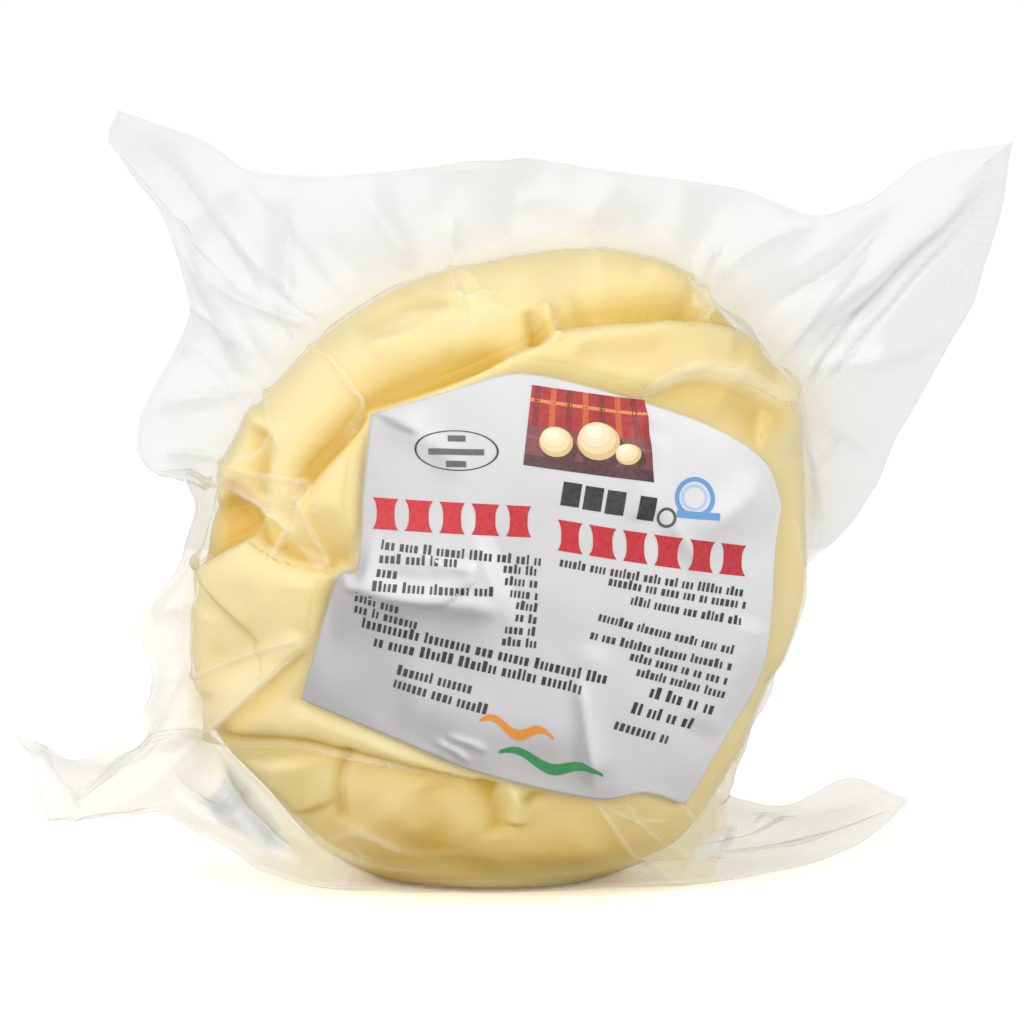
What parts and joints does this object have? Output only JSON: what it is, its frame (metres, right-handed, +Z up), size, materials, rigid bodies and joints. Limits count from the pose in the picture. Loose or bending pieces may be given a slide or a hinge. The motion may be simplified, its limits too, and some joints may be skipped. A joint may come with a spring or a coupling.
{
  "type": "vacuum-packed ball of wound string cheese",
  "caption": "Upright ball of wound string-cheese ribbon, vacuum packed in a clear floppy-cornered film bag with a paper label on its front; sealed food pack that rests on its flattened foot.",
  "frame": {"origin": "the middle of the pack's footprint box, on the surface that the flattened foot stands on", "axes": "+Z up; +X to the right and along the pack's width, seen from its labelled front; +Y through the ball to the back, so the label faces -Y"},
  "size_m": [0.141, 0.055, 0.1097],
  "materials": {
    "cheese_in_film": "pale butter-yellow cheese under clear glossy film",
    "cheese": "smooth moist pulled curd, pale butter yellow",
    "film": "clear laminated vacuum film, glossy, creased",
    "label_paper": "white coated paper, satin, slightly crumpled",
    "label_print": "printed fields of colour on the paper"
  },
  "bodies": {
    "root": {"bag": "cheese_in_film", "label": "label_paper"}
  },
  "joints": []
}
